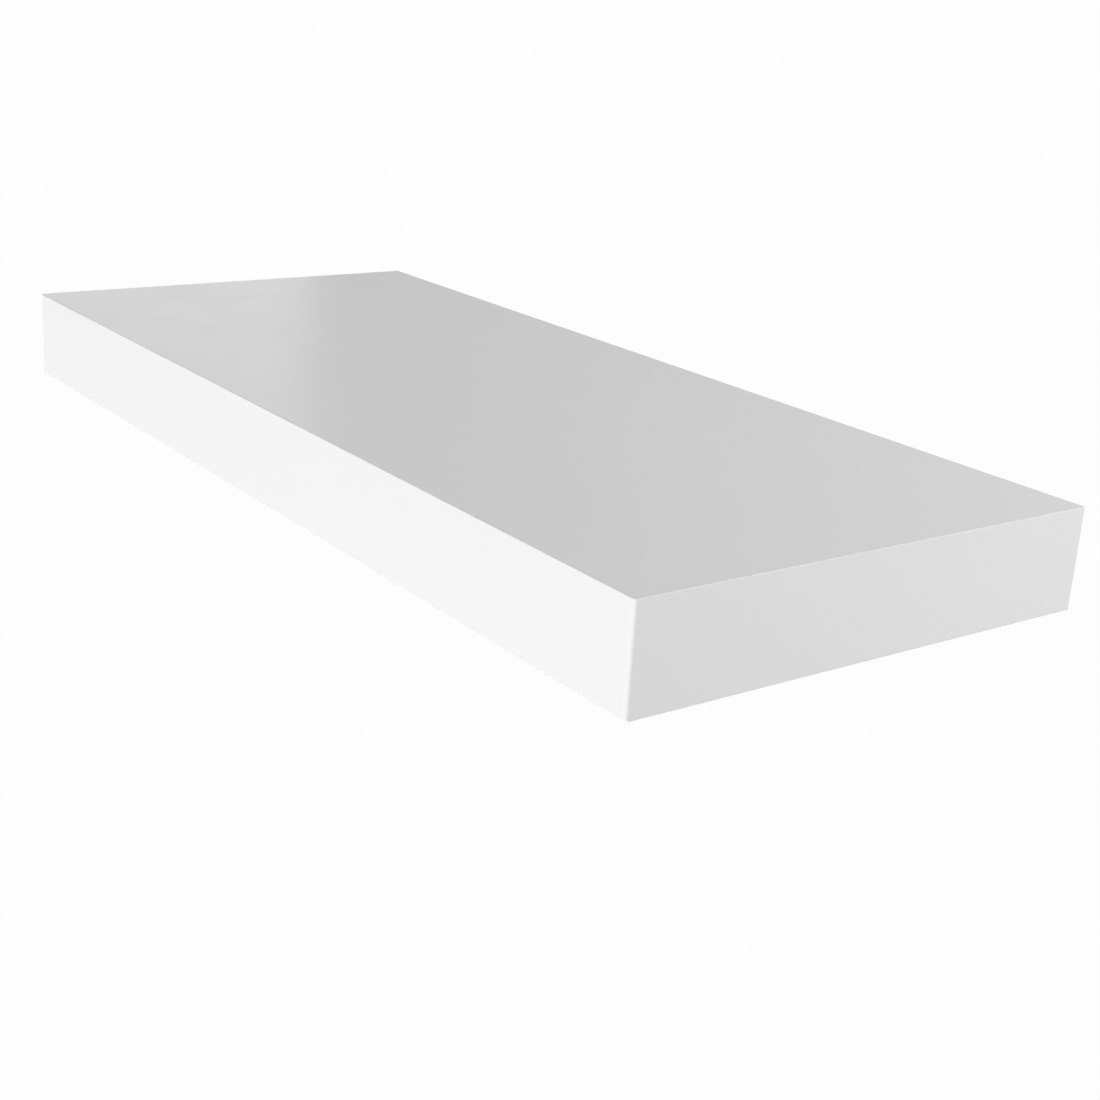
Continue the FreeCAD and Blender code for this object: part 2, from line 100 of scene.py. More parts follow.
# Welds: points for each ripple, rows across the bead, how far a ripple bows in its middle, in radians, and
# how deep the bead reaches into the bar and the rod
RIPPLE_POINTS, BEAD_ROWS = 20, 13
RIPPLE_BOW = 2.2
WELD_ROOT = 0.3 * MM

# Threads: how much steeper their flanks are than those of a plain triangle wave
THREAD_SLOPE = 2.4

# Inserts: bevel of both ends, rows inside and outside, knurls all round, and the height in which the knurls'
# waves move on by one radian
INSERT_BEVEL = 0.5 * MM
BORE_ROWS, GRIP_ROWS = 110, 60
KNURLS, KNURL_RISE = 32, 0.2 * MM

# Lock screws: bevel of both ends and rows of the thread
SCREW_BEVEL, SCREW_ROWS = 0.7 * MM, 140

# Their sockets: share of the width and depth of the drilled cone, share of the width at the floor, depth and
# flare of the mouth, and the step from the thread's root to the rim round the mouth
CONE_SHARE, CONE_DEPTH, SOCKET_FLOOR = 0.3, 0.4 * MM, 0.97
MOUTH_DEPTH, MOUTH_FLARE, RIM_STEP = 0.25 * MM, 0.12 * MM, 0.1 * MM

# Their cup points: rim and floor as shares of the screw's radius, and depth
CUP_RIM, CUP_FLOOR, CUP_DEPTH = 0.55, 0.4, 0.5 * MM

# The photograph's camera: where it stands, what its middle looks at on the shelf, and how far it leans
CAMERA_EYE = (0.7669, -0.6521, 0.2521)
CAMERA_AIM = (0.1827, -0.2125, 0.0)
CAMERA_LEAN = math.radians(3.602)
CAMERA_LENS = 57.67
CAMERA_SENSOR = 36.0

# Soft boxes: where each stands, what it faces, and its width and height in metres
LAMPS = {
    "key": ((0.1, -2.6, -0.62), (0.0, -0.26, 0.0), 3.6, 1.3),
    "side": ((1.3, 0.9, 0.7), (0.3, -0.1, 0.0), 0.9, 0.9),
    "overhead": ((1.2, -0.7, 1.6), (0.2, -0.1, 0.0), 1.2, 1.2),
    "card": ((-2.5, 0.45, 0.7), (0.0, 0.45, 0.7), 1.36, 1.4),
    "rear": ((-1.6, 2.4, -0.6), (0.0, 0.0, 0.0), 4.4, 1.1),
    "left": ((-2.4, 0.3, -0.6), (-0.3, -0.13, 0.0), 1.6, 1.2),
}

# The one lamp that gloss and metal mirror. The strong ones would burn out there in many views.
MIRRORED = "card"

# How far the floor reaches each way, in metres
FLOOR_REACH = 150.0

# Numbers of the Mix node's sockets: its factor, its two colours or two values, and its colour result
FACTOR, COLOUR_A, COLOUR_B, VALUE_A, VALUE_B, COLOUR = 0, 6, 7, 2, 3, 2


def linear(code):
    """Turns an sRGB hex value into linear red, green and blue."""
    share = np.array([int(code[i:i + 2], 16) for i in (1, 3, 5)]) / 255
    return tuple(np.where(share <= 0.04045, share / 12.92, ((share + 0.055) / 1.055) ** 2.4).tolist())


def colour_property(name, description, code):
    """A colour that the user can change, given as an sRGB hex value."""
    return bpy.props.FloatVectorProperty(
        name=name, description=description, subtype="COLOR", size=3, min=0, max=1, default=linear(code))


def length_property(name, description, millimetres):
    """A length that the user can change, given in millimetres."""
    return bpy.props.FloatProperty(
        name=name, description=description, subtype="DISTANCE", unit="LENGTH", precision=5, min=0,
        default=millimetres * MM)


def power_property(name, description, watts):
    """A lamp's power that the user can change, in watts."""
    return bpy.props.FloatProperty(name=name, description=description, unit="POWER", min=0, default=watts)


class ShelfSizes(bpy.types.PropertyGroup):
    """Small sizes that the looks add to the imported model."""

    corner_length: length_property("Corner length", "Rounding of the upright corners, along the front", 3.0)
    corner_depth: length_property("Corner depth", "Rounding of the upright corners, along the ends", 1.6)
    front_arris: length_property("Front arris", "Rounding of the front edging's top and bottom edges", 0.6)
    end_arris: length_property("End arris", "Rounding of the end edgings' top and bottom edges", 0.3)
    rod_chamfer: length_property("Rod chamfer", "Bevel at the free end of each rod", 2.0)
    tenon_diameter: length_property("Tenon diameter", "Width of the turned end of each rod", 9.0)
    weld_bulge: length_property("Weld bulge", "How far the weld bead swells out of its fillet", 0.4)
    weld_ripple: length_property("Weld ripple", "Height of the ripples on each weld bead", 0.22)
    weld_ripples: bpy.props.IntProperty(
        name="Weld ripples", description="Number of ripples round each weld bead", min=6, default=26)
    thread_pitch: length_property("Thread pitch", "Rise of the lock screw's thread in one turn", 1.0)
    thread_depth: length_property("Thread depth", "Depth of the lock screw's thread", 0.55)
    socket_width: length_property("Socket width", "Width across the flats of the lock screw's socket", 3.0)
    socket_depth: length_property("Socket depth", "Depth of the lock screw's socket", 3.5)
    insert_bore: length_property("Insert bore", "Inner width of the threaded insert", 6.3)
    knurl_depth: length_property("Knurl depth", "Depth of the grip pattern round the insert", 0.25)


class ShelfColours(bpy.types.PropertyGroup):
    """Colours of the shelf's materials and of the stage."""

    lacquer: colour_property("Lacquer", "White satin lacquer of skins and edging", "#F1F1F1")
    hardboard: colour_property("Hardboard", "Bare pressed fibre of the skins", "#84674A")
    chip_light: colour_property("Light chips", "Pale chips of the chipboard", "#EBD6AE")
    chip_dark: colour_property("Dark chips", "Dark chips of the chipboard", "#A98252")
    bark: colour_property("Bark", "Bark specks of the chipboard", "#6B4A2A")
    kraft: colour_property("Kraft paper", "Paper of the honeycomb core", "#B58B58")
    zinc: colour_property("Zinc", "Plated steel of bar and rods", "#C8CBCE")
    zinc_film: colour_property("Zinc film", "Bluish film left on the plating", "#B9C1CA")
    oxide: colour_property("Black oxide", "Blackened steel of the lock screws", "#2B2C2E")
    brass: colour_property("Brass", "Machined brass of the inserts", "#D9B868")
    floor: colour_property("Floor", "Pale matt floor", "#E8E8E7")
    white: colour_property("Background", "White that the camera sees round the shelf", "#FDFDFD")


class ShelfStage(bpy.types.PropertyGroup):
    """Lamps, ambient light and floor."""

    floor_drop: length_property("Floor drop", "How far the floor lies below the shelf", 2500.0)
    floor_shadow: bpy.props.FloatProperty(
        name="Floor shadow", description="Share of the real floor that the camera sees", min=0, max=1,
        subtype="FACTOR", default=0.06)
    floor_white: bpy.props.FloatProperty(
        name="Floor white", description="Strength of the white that the camera sees on the floor", min=0,
        default=1.056)
    ambient: bpy.props.FloatProperty(
        name="Ambient", description="Soft light from all round", min=0, default=0.1)
    key: power_property("Key lamp", "Large wall of soft light in front", 70.3)
    side: power_property("Side lamp", "Soft box beyond the right end", 18.6)
    overhead: power_property("Overhead lamp", "Soft box above the right end", 11.2)
    card: power_property("Reflecting card", "Dim card on the left, seen in the top's gloss", 2.4)
    rear: power_property("Rear lamp", "Wall of soft light behind, for the bracket's side", 30.0)
    left: power_property("Left lamp", "Soft box beyond the left end", 12.0)


def add_node(tree, kind, options=(), inputs=()):
    """Adds a node, sets its options, and sets or links its inputs by name or number."""
    new = tree.nodes.new("ShaderNode" + kind)
    for name, value in dict(options).items():
        setattr(new, name, value)
    for key, value in dict(inputs).items():
        if isinstance(value, bpy.types.NodeSocket):
            tree.links.new(value, new.inputs[key])
        else:
            new.inputs[key].default_value = value
    return new


def per_mm(size):
    """Texture scale at which one feature is this many millimetres wide."""
    return 1 / (size * MM)


def opaque(colour, share=1.0):
    """A colour as a node socket takes it, darker or lighter by share."""
    return (*(min(share * value, 1.0) for value in colour), 1.0)


def start_material(name):
    """A new material: the material, its node tree, its shader, and the place on the piece in metres."""
    material = bpy.data.materials.new(name)
    material.use_nodes = True
    tree = material.node_tree
    shader = next(n for n in tree.nodes if n.type == "BSDF_PRINCIPLED")
    return material, tree, shader, add_node(tree, "TexCoord").outputs["Object"]


def finish_material(tree, shader, colour, roughness, height, depth):
    """Links colour and roughness to the shader, and raises its surface by height times depth."""
    bump = add_node(tree, "Bump", {}, {"Height": height, "Distance": depth, "Strength": 1.0})
    tree.links.new(colour, shader.inputs["Base Color"])
    tree.links.new(roughness, shader.inputs["Roughness"])
    tree.links.new(bump.outputs[0], shader.inputs["Normal"])


def lacquer_coat(tree, place, colours):
    """Satin acrylic lacquer, rolled on and cured: its colour, roughness and height.

    It levels into a faint orange peel, with broad soft reflections and hardly any change of tone.
    The real peel is about 1.5 mm wide and is drawn 4 mm wide, so that it shows.
    """
    clouds = add_node(tree, "TexNoise", {}, {"Vector": place, "Scale": per_mm(110), "Detail": 2.0})
    tone = add_node(tree, "Mix", {"data_type": "RGBA"}, {
        FACTOR: clouds.outputs["Fac"],
        COLOUR_A: opaque(colours.lacquer, 0.985), COLOUR_B: opaque(colours.lacquer)})
    gloss = add_node(tree, "TexNoise", {}, {"Vector": place, "Scale": per_mm(30), "Detail": 3.0})
    satin = add_node(tree, "MapRange", {}, {
        "Value": gloss.outputs["Fac"], "From Min": 0.3, "From Max": 0.7, "To Min": 0.21, "To Max": 0.26})
    peel = add_node(tree, "TexNoise", {}, {"Vector": place, "Scale": per_mm(4), "Detail": 1.0})
    return tone.outputs[COLOUR], satin.outputs[0], peel.outputs["Fac"]


def lacquered_edging(colours):
    """Moulded ABS edging under the same satin lacquer as the skins, so that no seam shows."""
    material, tree, shader, place = start_material("satin_lacquered_abs_edging")
    shader.inputs["IOR"].default_value = 1.5
    colour, roughness, height = lacquer_coat(tree, place, colours)
    finish_material(tree, shader, colour, roughness, height, depth=0.012 * MM)
    return material


def lacquered_hardboard(colours):
    """Pressed fibre hardboard, lacquered on its outer face and bare elsewhere.

    The outer face has the satin lacquer. The sawn edges and the walls of the holes are brown and matt,
    with flattened fibres in thin layers.
    """
    material, tree, shader, place = start_material("satin_lacquered_hardboard")
    shader.inputs["IOR"].default_value = 1.5
    tone, satin, peel = lacquer_coat(tree, place, colours)
    layers = add_node(tree, "Mapping", {}, {
        "Vector": place, "Scale": (per_mm(5), per_mm(5), per_mm(0.6))})
    fibres = add_node(tree, "TexNoise", {}, {"Vector": layers.outputs[0], "Scale": 1.0, "Detail": 5.0})
    bare = add_node(tree, "Mix", {"data_type": "RGBA"}, {
        FACTOR: fibres.outputs["Fac"],
        COLOUR_A: opaque(colours.hardboard, 0.45), COLOUR_B: opaque(colours.hardboard, 1.5)})
    rough = add_node(tree, "MapRange", {}, {"Value": fibres.outputs["Fac"], "To Min": 0.0, "To Max": 6.0})
    level = add_node(tree, "SeparateXYZ", {}, {"Vector": place})
    outward = add_node(tree, "Math", {"operation": "ABSOLUTE"}, {0: level.outputs["Z"]})
    coated = add_node(tree, "Math", {"operation": "GREATER_THAN"}, {
        0: outward.outputs[0], 1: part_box("top_skin")[1].z - LACQUER_FILM})
    colour = add_node(tree, "Mix", {"data_type": "RGBA"}, {
        FACTOR: coated.outputs[0], COLOUR_A: bare.outputs[COLOUR], COLOUR_B: tone})
    roughness = add_node(tree, "Mix", {}, {FACTOR: coated.outputs[0], VALUE_A: 0.85, VALUE_B: satin})
    height = add_node(tree, "Mix", {}, {
        FACTOR: coated.outputs[0], VALUE_A: rough.outputs[0], VALUE_B: peel})
    finish_material(tree, shader, colour.outputs[COLOUR], roughness.outputs[0], height.outputs[0],
                    depth=0.012 * MM)
    return material


def sawn_chipboard(colours):
    """Resin-bonded chipboard, pressed flat and sawn into strips.

    Chips lie flat, so a sawn side shows thin level slivers in many tans, coarse in the middle of the
    board and fine near its faces, with fibres along them, some dark bark and a matt, slightly torn surface.
    """
    material, tree, shader, place = start_material("sawn_chipboard")
    shader.inputs["IOR"].default_value = 1.45
    # The press bends the chips, so their outlines waver
    sway = add_node(tree, "TexNoise", {}, {"Vector": place, "Scale": per_mm(3.5), "Detail": 3.0})
    offset = add_node(tree, "VectorMath", {"operation": "SCALE"}, {
        0: sway.outputs["Color"], "Scale": 1.5 * MM})
    bent = add_node(tree, "VectorMath", {"operation": "ADD"}, {0: place, 1: offset.outputs[0]})
    chips = []
    for width, thickness in (CORE_CHIP, FACE_CHIP):
        lie = add_node(tree, "Mapping", {}, {
            "Vector": bent.outputs[0], "Scale": (per_mm(width), per_mm(width), per_mm(thickness))})
        chips.append(add_node(tree, "TexVoronoi", {}, {"Vector": lie.outputs[0], "Scale": 1.0}))
    level = add_node(tree, "SeparateXYZ", {}, {"Vector": place})
    outward = add_node(tree, "Math", {"operation": "ABSOLUTE"}, {0: level.outputs["Z"]})
    face = add_node(tree, "MapRange", {}, {
        "Value": outward.outputs[0], "From Min": FACE_STARTS * MM, "From Max": FACE_FULL * MM})
    chip = add_node(tree, "Mix", {"data_type": "RGBA"}, {
        FACTOR: face.outputs[0], COLOUR_A: chips[0].outputs["Color"], COLOUR_B: chips[1].outputs["Color"]})
    draw = add_node(tree, "SeparateColor", {}, {"Color": chip.outputs[COLOUR]})
    along = add_node(tree, "Mapping", {}, {
        "Vector": bent.outputs[0], "Scale": (per_mm(2.5), per_mm(2.5), per_mm(0.25))})
    fibres = add_node(tree, "TexNoise", {}, {"Vector": along.outputs[0], "Scale": 1.0, "Detail": 4.0})
    shade = add_node(tree, "Mix", {}, {
        FACTOR: 0.45, VALUE_A: draw.outputs["Red"], VALUE_B: fibres.outputs["Fac"]})
    tan = add_node(tree, "Mix", {"data_type": "RGBA"}, {
        FACTOR: shade.outputs[0], COLOUR_A: opaque(colours.chip_dark), COLOUR_B: opaque(colours.chip_light)})
    rare = add_node(tree, "MapRange", {}, {
        "Value": draw.outputs["Green"], "From Min": 0.93, "From Max": 0.98, "To Max": 0.7})
    barked = add_node(tree, "Mix", {"data_type": "RGBA"}, {
        FACTOR: rare.outputs[0], COLOUR_A: tan.outputs[COLOUR], COLOUR_B: opaque(colours.bark)})
    grain = add_node(tree, "TexNoise", {}, {"Vector": place, "Scale": per_mm(0.9), "Detail": 4.0})
    worn = add_node(tree, "Mix", {"data_type": "RGBA", "blend_type": "MULTIPLY"}, {
        FACTOR: 0.3, COLOUR_A: barked.outputs[COLOUR], COLOUR_B: grain.outputs["Fac"]})
    roughness = add_node(tree, "MapRange", {}, {
        "Value": grain.outputs["Fac"], "To Min": 0.78, "To Max": 0.95})
    height = add_node(tree, "Math", {"operation": "ADD"}, {0: grain.outputs["Fac"], 1: shade.outputs[0]})
    finish_material(tree, shader, worn.outputs[COLOUR], roughness.outputs[0], height.outputs[0],
                    depth=0.2 * MM)
    return material


def kraft_paper(colours):
    """Unbleached kraft paper, glued into an expanded honeycomb: brown, matt, with flecks of fibre."""
    material, tree, shader, place = start_material("kraft_paper_honeycomb")
    shader.inputs["IOR"].default_value = 1.45
    fibres = add_node(tree, "TexNoise", {}, {"Vector": place, "Scale": per_mm(1.2), "Detail": 5.0})
    damp = add_node(tree, "TexNoise", {}, {"Vector": place, "Scale": per_mm(25), "Detail": 2.0})
    sheet = add_node(tree, "Mix", {"data_type": "RGBA"}, {
        FACTOR: damp.outputs["Fac"],
        COLOUR_A: opaque(colours.kraft, 0.8), COLOUR_B: opaque(colours.kraft, 1.15)})
    flecked = add_node(tree, "Mix", {"data_type": "RGBA", "blend_type": "MULTIPLY"}, {
        FACTOR: 0.5, COLOUR_A: sheet.outputs[COLOUR], COLOUR_B: fibres.outputs["Fac"]})
    roughness = add_node(tree, "MapRange", {}, {
        "Value": fibres.outputs["Fac"], "To Min": 0.82, "To Max": 0.96})
    finish_material(tree, shader, flecked.outputs[COLOUR], roughness.outputs[0], fibres.outputs["Fac"],
                    depth=0.05 * MM)
    return material


def zinc_plate(name, colours, streak, shine):
    """Mild steel, zinc-plated and passivated: silver, with a faint blue film and streaks from the mill.

    streak is the size of a mill mark along x, y and z in millimetres, shine the roughness range.
    """
    material, tree, shader, place = start_material(name)
    shader.inputs["Metallic"].default_value = 1.0
    pull = add_node(tree, "Mapping", {}, {"Vector": place, "Scale": tuple(per_mm(size) for size in streak)})
    streaks = add_node(tree, "TexNoise", {}, {"Vector": pull.outputs[0], "Scale": 1.0, "Detail": 4.0})
    bath = add_node(tree, "TexNoise", {}, {"Vector": place, "Scale": per_mm(28), "Detail": 3.0})
    film = add_node(tree, "MapRange", {}, {
        "Value": bath.outputs["Fac"], "From Min": 0.35, "From Max": 0.7, "To Max": 0.6})
    tint = add_node(tree, "Mix", {"data_type": "RGBA"}, {
        FACTOR: film.outputs[0], COLOUR_A: opaque(colours.zinc), COLOUR_B: opaque(colours.zinc_film)})
    dulled = add_node(tree, "Mix", {"data_type": "RGBA", "blend_type": "MULTIPLY"}, {
        FACTOR: 0.2, COLOUR_A: tint.outputs[COLOUR], COLOUR_B: streaks.outputs["Fac"]})
    roughness = add_node(tree, "MapRange", {}, {
        "Value": streaks.outputs["Fac"], "From Min": 0.3, "From Max": 0.7,
        "To Min": shine[0], "To Max": shine[1]})
    finish_material(tree, shader, dulled.outputs[COLOUR], roughness.outputs[0], streaks.outputs["Fac"],
                    depth=0.03 * MM)
    return material


def black_oxide(colours):
    """Alloy steel, blackened in hot oxide: near black with a dull metal gleam, rubbed a little brighter."""
    material, tree, shader, place = start_material("black_oxide_steel")
    shader.inputs["Metallic"].default_value = 1.0
    rub = add_node(tree, "TexNoise", {}, {"Vector": place, "Scale": per_mm(1.5), "Detail": 4.0})
    tint = add_node(tree, "Mix", {"data_type": "RGBA"}, {
        FACTOR: rub.outputs["Fac"],
        COLOUR_A: opaque(colours.oxide, 0.6), COLOUR_B: opaque(colours.oxide, 1.7)})
    roughness = add_node(tree, "MapRange", {}, {
        "Value": rub.outputs["Fac"], "To Min": 0.55, "To Max": 0.32})
    finish_material(tree, shader, tint.outputs[COLOUR], roughness.outputs[0], rub.outputs["Fac"],
                    depth=0.02 * MM)
    return material


def turned_brass(colours):
    """Brass, turned from bar: warm yellow with fine rings left by the tool.

    The real rings are about 0.1 mm apart and are drawn 0.5 mm apart, so that they show.
    """
    material, tree, shader, place = start_material("turned_brass")
    shader.inputs["Metallic"].default_value = 1.0
    feed = add_node(tree, "Mapping", {}, {"Vector": place, "Scale": (per_mm(40), per_mm(40), per_mm(0.5))})
    rings = add_node(tree, "TexNoise", {}, {"Vector": feed.outputs[0], "Scale": 1.0, "Detail": 2.0})
    tint = add_node(tree, "Mix", {"data_type": "RGBA"}, {
        FACTOR: rings.outputs["Fac"],
        COLOUR_A: opaque(colours.brass, 0.75), COLOUR_B: opaque(colours.brass, 1.1)})
    roughness = add_node(tree, "MapRange", {}, {
        "Value": rings.outputs["Fac"], "To Min": 0.18, "To Max": 0.40})
    finish_material(tree, shader, tint.outputs[COLOUR], roughness.outputs[0], rings.outputs["Fac"],
                    depth=0.02 * MM)
    return material


def paint_nodes(names, material):
    """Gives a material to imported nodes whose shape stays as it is."""
    for name in names:
        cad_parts[name].material_slots[0].material = material


def make_piece(name, grid, body, node, material, tube=False):
    """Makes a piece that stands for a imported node, from a grid of points: rows, points round a row, place.

    Four-sided faces join each row to the next and each point to the next round its row. The first and
    last rows are closed by triangles to their middle, or joined to each other where the rows make a tube.
    The faces are turned so that their signed volume, the sum of a . (b x c), is positive.
    """
    rows, around = grid.shape[:2]
    index = np.arange(rows * around).reshape(rows, around)
    here, after = (index, np.roll(index, -1, axis=0)) if tube else (index[:-1], index[1:])
    corners = [here, np.roll(here, -1, axis=1), np.roll(after, -1, axis=1), after]
    quads = np.stack(corners, axis=-1).reshape(-1, 4)
    points = grid.reshape(-1, 3)
    a, b, c, d = (points[quads[:, k]] - points.mean(axis=0) for k in range(4))
    if (a * np.cross(b, c)).sum() + (a * np.cross(c, d)).sum() < 0:
        quads, index = quads[:, ::-1], index[:, ::-1]
    faces = quads.tolist()
    for end in () if tube else (index[0, ::-1], index[-1]):
        middle = np.full(around, len(points))
        faces += np.stack([end, np.roll(end, -1), middle], axis=-1).tolist()
        points = np.concatenate([points, points[end].mean(axis=0, keepdims=True)])
    mesh = bpy.data.meshes.new(name)
    mesh.from_pydata(points.tolist(), [], faces)
    mesh.shade_smooth()
    mesh.set_sharp_from_angle(angle=SHARP_ANGLE)
    mesh.materials.append(material)
    piece = bpy.data.objects.new(name, mesh)
    bpy.context.scene.collection.objects.link(piece)
    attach(piece, body)
    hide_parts(node)


def soften(corners, size, share=0.4, steps=5):
    """Rounds the inner corners of a line of points.

    Each corner c becomes (1-s)^2 a + 2 s (1-s) c + s^2 b for s from 0 to 1, where a and b lie on its two
    sides, size away from c, or share times the side's length where that is less.
    """
    corners = np.asarray(corners, float)
    corner = corners[1:-1, None]
    sides = np.stack([corners[:-2], corners[2:]], axis=1) - corner
    length = np.linalg.norm(sides, axis=2, keepdims=True)
    near = corner + sides * np.minimum(size / length, share)
    s = np.linspace(0, 1, steps)[None, :, None]
    curves = (1 - s) ** 2 * near[:, :1] + 2 * s * (1 - s) * corner + s ** 2 * near[:, 1:]
    return np.concatenate([corners[:1], curves.reshape(-1, corners.shape[1]), corners[-1:]])


def turned(radius, height, angle, centre, axis):
    """Points at radius and height round an axis: radius cos angle, radius sin angle, height.

    axis says which of x, y and z the height runs along; centre gives the other two.
    """
    parts = [centre[0] + radius * np.cos(angle), centre[1] + radius * np.sin(angle)]
    parts.insert(axis, np.broadcast_to(height, parts[0].shape))
    return np.stack(parts, axis=-1)


def angles_round(steps=96):
    """Evenly spaced angles of one turn, the last one just short of the first."""
    return np.linspace(0, FULL_TURN, steps, endpoint=False)[None, :]


def soft_edge(radius, steps=8):
    """A soft edge: how far it draws in, radius (1 - cos b), and how far it rises, radius sin b.

    b goes from 0 to 90 degrees down the rows, and radius may change along them. A row before the edge and
    one after it lie on the flat faces and keep them flat in the light.
    """
    b = np.linspace(0, RIGHT_ANGLE, steps)[:, None]
    radius = np.reshape(radius, (1, -1))
    drawn = np.concatenate([0 * radius, radius * (1 - np.cos(b)), radius + FLAT_ROW])
    risen = np.concatenate([0 * radius - FLAT_ROW, radius * np.sin(b), radius])
    return drawn, risen


def front_strip(low, high, sizes, steps=12):
    """The front edging: an outline seen from above, carried up from its bottom to its top.

    The outline starts at the back on the left and turns the left corner, length (1 - cos a) to the right
    and depth (1 - sin a) from the front, a from 0 to 90 degrees, then runs along the front and back
    round the right corner. At the bottom and the top it draws in along its own normal as a soft edge,
    whose radius goes from the end's to the front's with the square of the normal's share along y. The
    first and last rows, which lie in the flat bottom and top, also step in from the back.
    """
    a = np.linspace(0, RIGHT_ANGLE, steps)
    length, depth = sizes.corner_length, sizes.corner_depth
    across = np.concatenate([[0], length * (1 - np.cos(a)), [length + FLAT_ROW]])
    back = np.concatenate([[high.y - low.y], depth * (1 - np.sin(a)), [0]])
    slope = np.hypot(depth * np.cos(a), length * np.sin(a))
    inward_x = np.concatenate([[1], depth * np.cos(a) / slope, [0]])
    inward_y = np.concatenate([[0], length * np.sin(a) / slope, [1]])
    x = np.concatenate([low.x + across, high.x - across[::-1]])
    y = low.y + np.concatenate([back, back[::-1]])
    inward_x = np.concatenate([inward_x, -inward_x[::-1]])
    inward_y = np.concatenate([inward_y, inward_y[::-1]])
    arris = sizes.end_arris + (sizes.front_arris - sizes.end_arris) * inward_y ** 2
    drawn, risen = soft_edge(arris)
    up = (high.z - low.z) / 2 - arris + risen
    drawn, up = (np.concatenate([part[::-1], part]) for part in (drawn, up))
    up[:len(risen)] *= -1
    grid = np.stack([x + drawn * inward_x, y + drawn * inward_y, (high.z + low.z) / 2 + up], axis=-1)
    grid[[0, 0, -1, -1], [0, -1, 0, -1], 1] -= FLAT_ROW
    return grid


def end_strip(low, high, arris, outward):
    """An end edging: a section with a soft edge above and below, carried along y from front to back."""
    thick, half, level = high.x - low.x, (high.z - low.z) / 2, (high.z + low.z) / 2
    drawn, risen = (part[:, 0] for part in soft_edge(arris))
    out = thick - np.concatenate([drawn, [thick]])
    up = np.concatenate([half - arris + risen, [half]])
    out, up = np.concatenate([out[::-1], out]), np.concatenate([up[::-1], -up])
    glued = low.x if outward > 0 else high.x
    section = np.stack([glued + outward * out, np.zeros_like(out), level + up], axis=-1)
    return section + np.array([[[0, low.y, 0]], [[0, high.y, 0]]])


def thread(height, angle, pitch, start, end):
    """Height of a screw thread, from 0 at its root to 1 at its crest.

    A triangle wave of height / pitch - angle / 360 degrees, made steeper about its middle and cut off at
    0 and 1, which leaves root and crest flat. It fades out over one pitch at start and end.
    """
    turn = height / pitch - angle / FULL_TURN
    triangle = np.abs(2 * (turn - np.floor(turn)) - 1)
    wave = np.clip(0.5 + THREAD_SLOPE * (triangle - 0.5), 0, 1)
    fade = np.clip(np.minimum(height - start, end - height) / pitch, 0, 1)
    return wave * fade


class SHELF_OT_skins(bpy.types.Operator):
    """Gives the two hardboard skins their lacquered face and bare edges"""

    bl_idname = "shelf.skins"
    bl_label = "Skins"

    def execute(self, context):
        paint_nodes(SKINS, lacquered_hardboard(context.scene.shelf_colours))
        return {"FINISHED"}


class SHELF_OT_edging(bpy.types.Operator):
    """Makes the front edging and the two end edgings, with their soft edges"""

    bl_idname = "shelf.edging"
    bl_label = "Edging"

    def execute(self, context):
        sizes = context.scene.shelf_sizes
        material = lacquered_edging(context.scene.shelf_colours)
        make_piece("front_edging", front_strip(*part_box("front_edge_band"), sizes),
                   BOARD, "front_edge_band", material)
        for side, outward in zip(SIDES, (-1, 1)):
            node = f"{side}_edge_band"
            make_piece(f"{side}_edging", end_strip(*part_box(node), sizes.end_arris, outward),
                       BOARD, node, material)
        return {"FINISHED"}


class SHELF_OT_frame_boards(bpy.types.Operator):
    """Gives the rails and the rod blocks their sawn chipboard"""

    bl_idname = "shelf.frame_boards"
    bl_label = "Rails and rod blocks"

    def execute(self, context):
        paint_nodes(FRAME_BOARDS, sawn_chipboard(context.scene.shelf_colours))
        return {"FINISHED"}


class SHELF_OT_core(bpy.types.Operator):
    """Gives the honeycomb core its kraft paper"""

    bl_idname = "shelf.core"
    bl_label = "Honeycomb core"

    def execute(self, context):
        paint_nodes(CORE_BAYS, kraft_paper(context.scene.shelf_colours))
        return {"FINISHED"}


class SHELF_OT_wall_bar(bpy.types.Operator):
    """Gives the wall bar its zinc plating over rolled steel"""

    bl_idname = "shelf.wall_bar"
    bl_label = "Wall bar"

    def execute(self, context):
        material = zinc_plate("zinc_plated_rolled_steel", context.scene.shelf_colours,
                              streak=(60, 0.9, 0.9), shine=(0.3, 0.42))
        paint_nodes(["wall_bar"], material)
        return {"FINISHED"}


class SHELF_OT_rods(bpy.types.Operator):
    """Makes the three rods: bevelled tip, round shank, shoulder and turned tenon"""

    bl_idname = "shelf.rods"
    bl_label = "Rods"

    def execute(self, context):
        sizes = context.scene.shelf_sizes
        material = zinc_plate("zinc_plated_drawn_steel", context.scene.shelf_colours,
                              streak=(0.8, 40, 0.8), shine=(0.26, 0.36))
        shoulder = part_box("wall_bar")[0].y
        for place in ROD_PLACES:
            node = f"{place}_rod"
            low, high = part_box(node)
            radius, tenon, bevel = (high.x - low.x) / 2, sizes.tenon_diameter / 2, sizes.rod_chamfer
            tip = radius - bevel
            profile = soften([
                (END_MIDDLE * tip, low.y), (tip, low.y), (radius, low.y + bevel), (radius, shoulder),
                (tenon, shoulder), (tenon, high.y), (END_MIDDLE * tenon, high.y)], ROD_SOFTNESS)
            middle = (low + high) / 2
            grid = turned(profile[:, :1], profile[:, 1:], angles_round(), (middle.x, middle.z), axis=1)
            make_piece(f"{place}_drawn_rod", grid, BRACKET, node, material)
        return {"FINISHED"}


